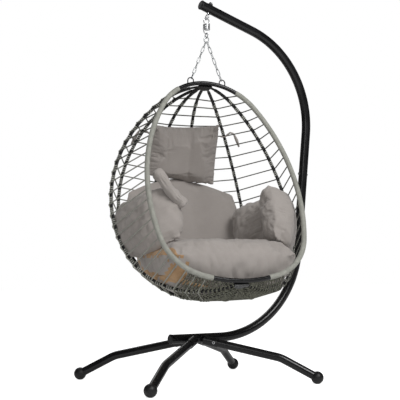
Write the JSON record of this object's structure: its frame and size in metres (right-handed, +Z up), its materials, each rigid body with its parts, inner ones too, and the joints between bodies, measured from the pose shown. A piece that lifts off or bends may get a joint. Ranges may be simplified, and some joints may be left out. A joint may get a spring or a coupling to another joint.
{
  "type": "hanging egg chair",
  "caption": "Garden egg chair: an open woven basket with cushions, hung by a spring and a chain bridle from a bent-tube stand on ball feet.",
  "frame": {"origin": "on the floor under the middle of the whole chair's box", "axes": "+Z up; +X towards the pole, in the plane of the bent tube; -Y to the open front of the basket"},
  "size_m": [1.2453, 0.954, 1.9903],
  "materials": {
    "black_frame": "black powder coat, satin",
    "bright_steel": "bright plated",
    "zinc_steel": "zinc plated",
    "black_plastic": "moulded, satin black",
    "grey_wicker": "round synthetic wicker strand, weathered grey",
    "taupe_fabric": "woven polyester, warm grey",
    "tan_fabric": "coarse tan cloth"
  },
  "bodies": {
    "stand": {"lower_pole": "black_frame", "upper_pole": "black_frame", "pole_bolt": "bright_steel", "pole_nut": "bright_steel", "base_end_cap": "black_plastic", "arm_end_cap": "black_plastic", "leg_front_left": "black_frame", "leg_front_right": "black_frame", "leg_rear_left": "black_frame", "leg_rear_right": "black_frame", "leg_bolts": "black_frame", "leg_nuts": "bright_steel", "leg_sockets": "black_frame", "ball_feet": "black_plastic", "eye_bolt": "bright_steel", "eye_nut": "bright_steel", "eye_washer": "black_plastic"},
    "spring": {"spring": "zinc_steel"},
    "upper_ring": {"upper_ring": "zinc_steel"},
    "lower_ring": {"lower_ring": "zinc_steel"},
    "bridle": {"chain_left": "zinc_steel", "chain_right": "zinc_steel"},
    "basket": {"rim": "black_frame", "hanging_loops": "black_frame", "rim_winding_left": "grey_wicker", "rim_winding_right": "grey_wicker", "rib_hub_top": "black_frame", "rib_hub_bottom": "black_frame", "rib_1": "black_frame", "rib_2": "black_frame", "rib_3": "black_frame", "rib_4": "black_frame", "rib_5": "black_frame", "rib_6": "black_frame", "strands_1": "grey_wicker", "strands_2": "grey_wicker", "strands_3": "grey_wicker", "strands_4": "grey_wicker", "strands_5": "grey_wicker", "strands_6": "grey_wicker", "strands_7": "grey_wicker", "head_pillow": "taupe_fabric", "pillow_ties": "taupe_fabric", "back_cushion": "taupe_fabric", "seat_cushion": "taupe_fabric", "side_cushion_left": "taupe_fabric", "side_cushion_right": "taupe_fabric", "side_flap_left": "taupe_fabric", "seat_liner": "tan_fabric"}
  },
  "joints": [
    {"name": "swing_front_back", "type": "hinge", "parent": "stand", "child": "spring", "pos_m": [-0.0555, -0.0193, 1.89171], "axis": [1, 0, 0], "range_deg": [-15, 15]},
    {"name": "bounce", "type": "slide", "parent": "spring", "child": "upper_ring", "axis": [0, 0, -1], "range_m": [0, 0.03], "stiffness_N_per_m": 36000, "springref_m": -0.009, "deforming": ["spring"]},
    {"name": "turn", "type": "hinge", "parent": "upper_ring", "child": "lower_ring", "pos_m": [-0.0555, -0.0193, 1.79468], "axis": [0, 0, 1], "range_deg": [-30, 30]},
    {"name": "swing_side", "type": "hinge", "parent": "lower_ring", "child": "bridle", "pos_m": [-0.0555, -0.0193, 1.77983], "axis": [0.1392, 0.9903, 0], "range_deg": [-5, 15]},
    {"name": "basket_tilt", "type": "hinge", "parent": "bridle", "child": "basket", "pos_m": [-0.0555, -0.0193, 1.57323], "axis": [0.9903, -0.1392, 0], "range_deg": [-12, 12]}
  ]
}
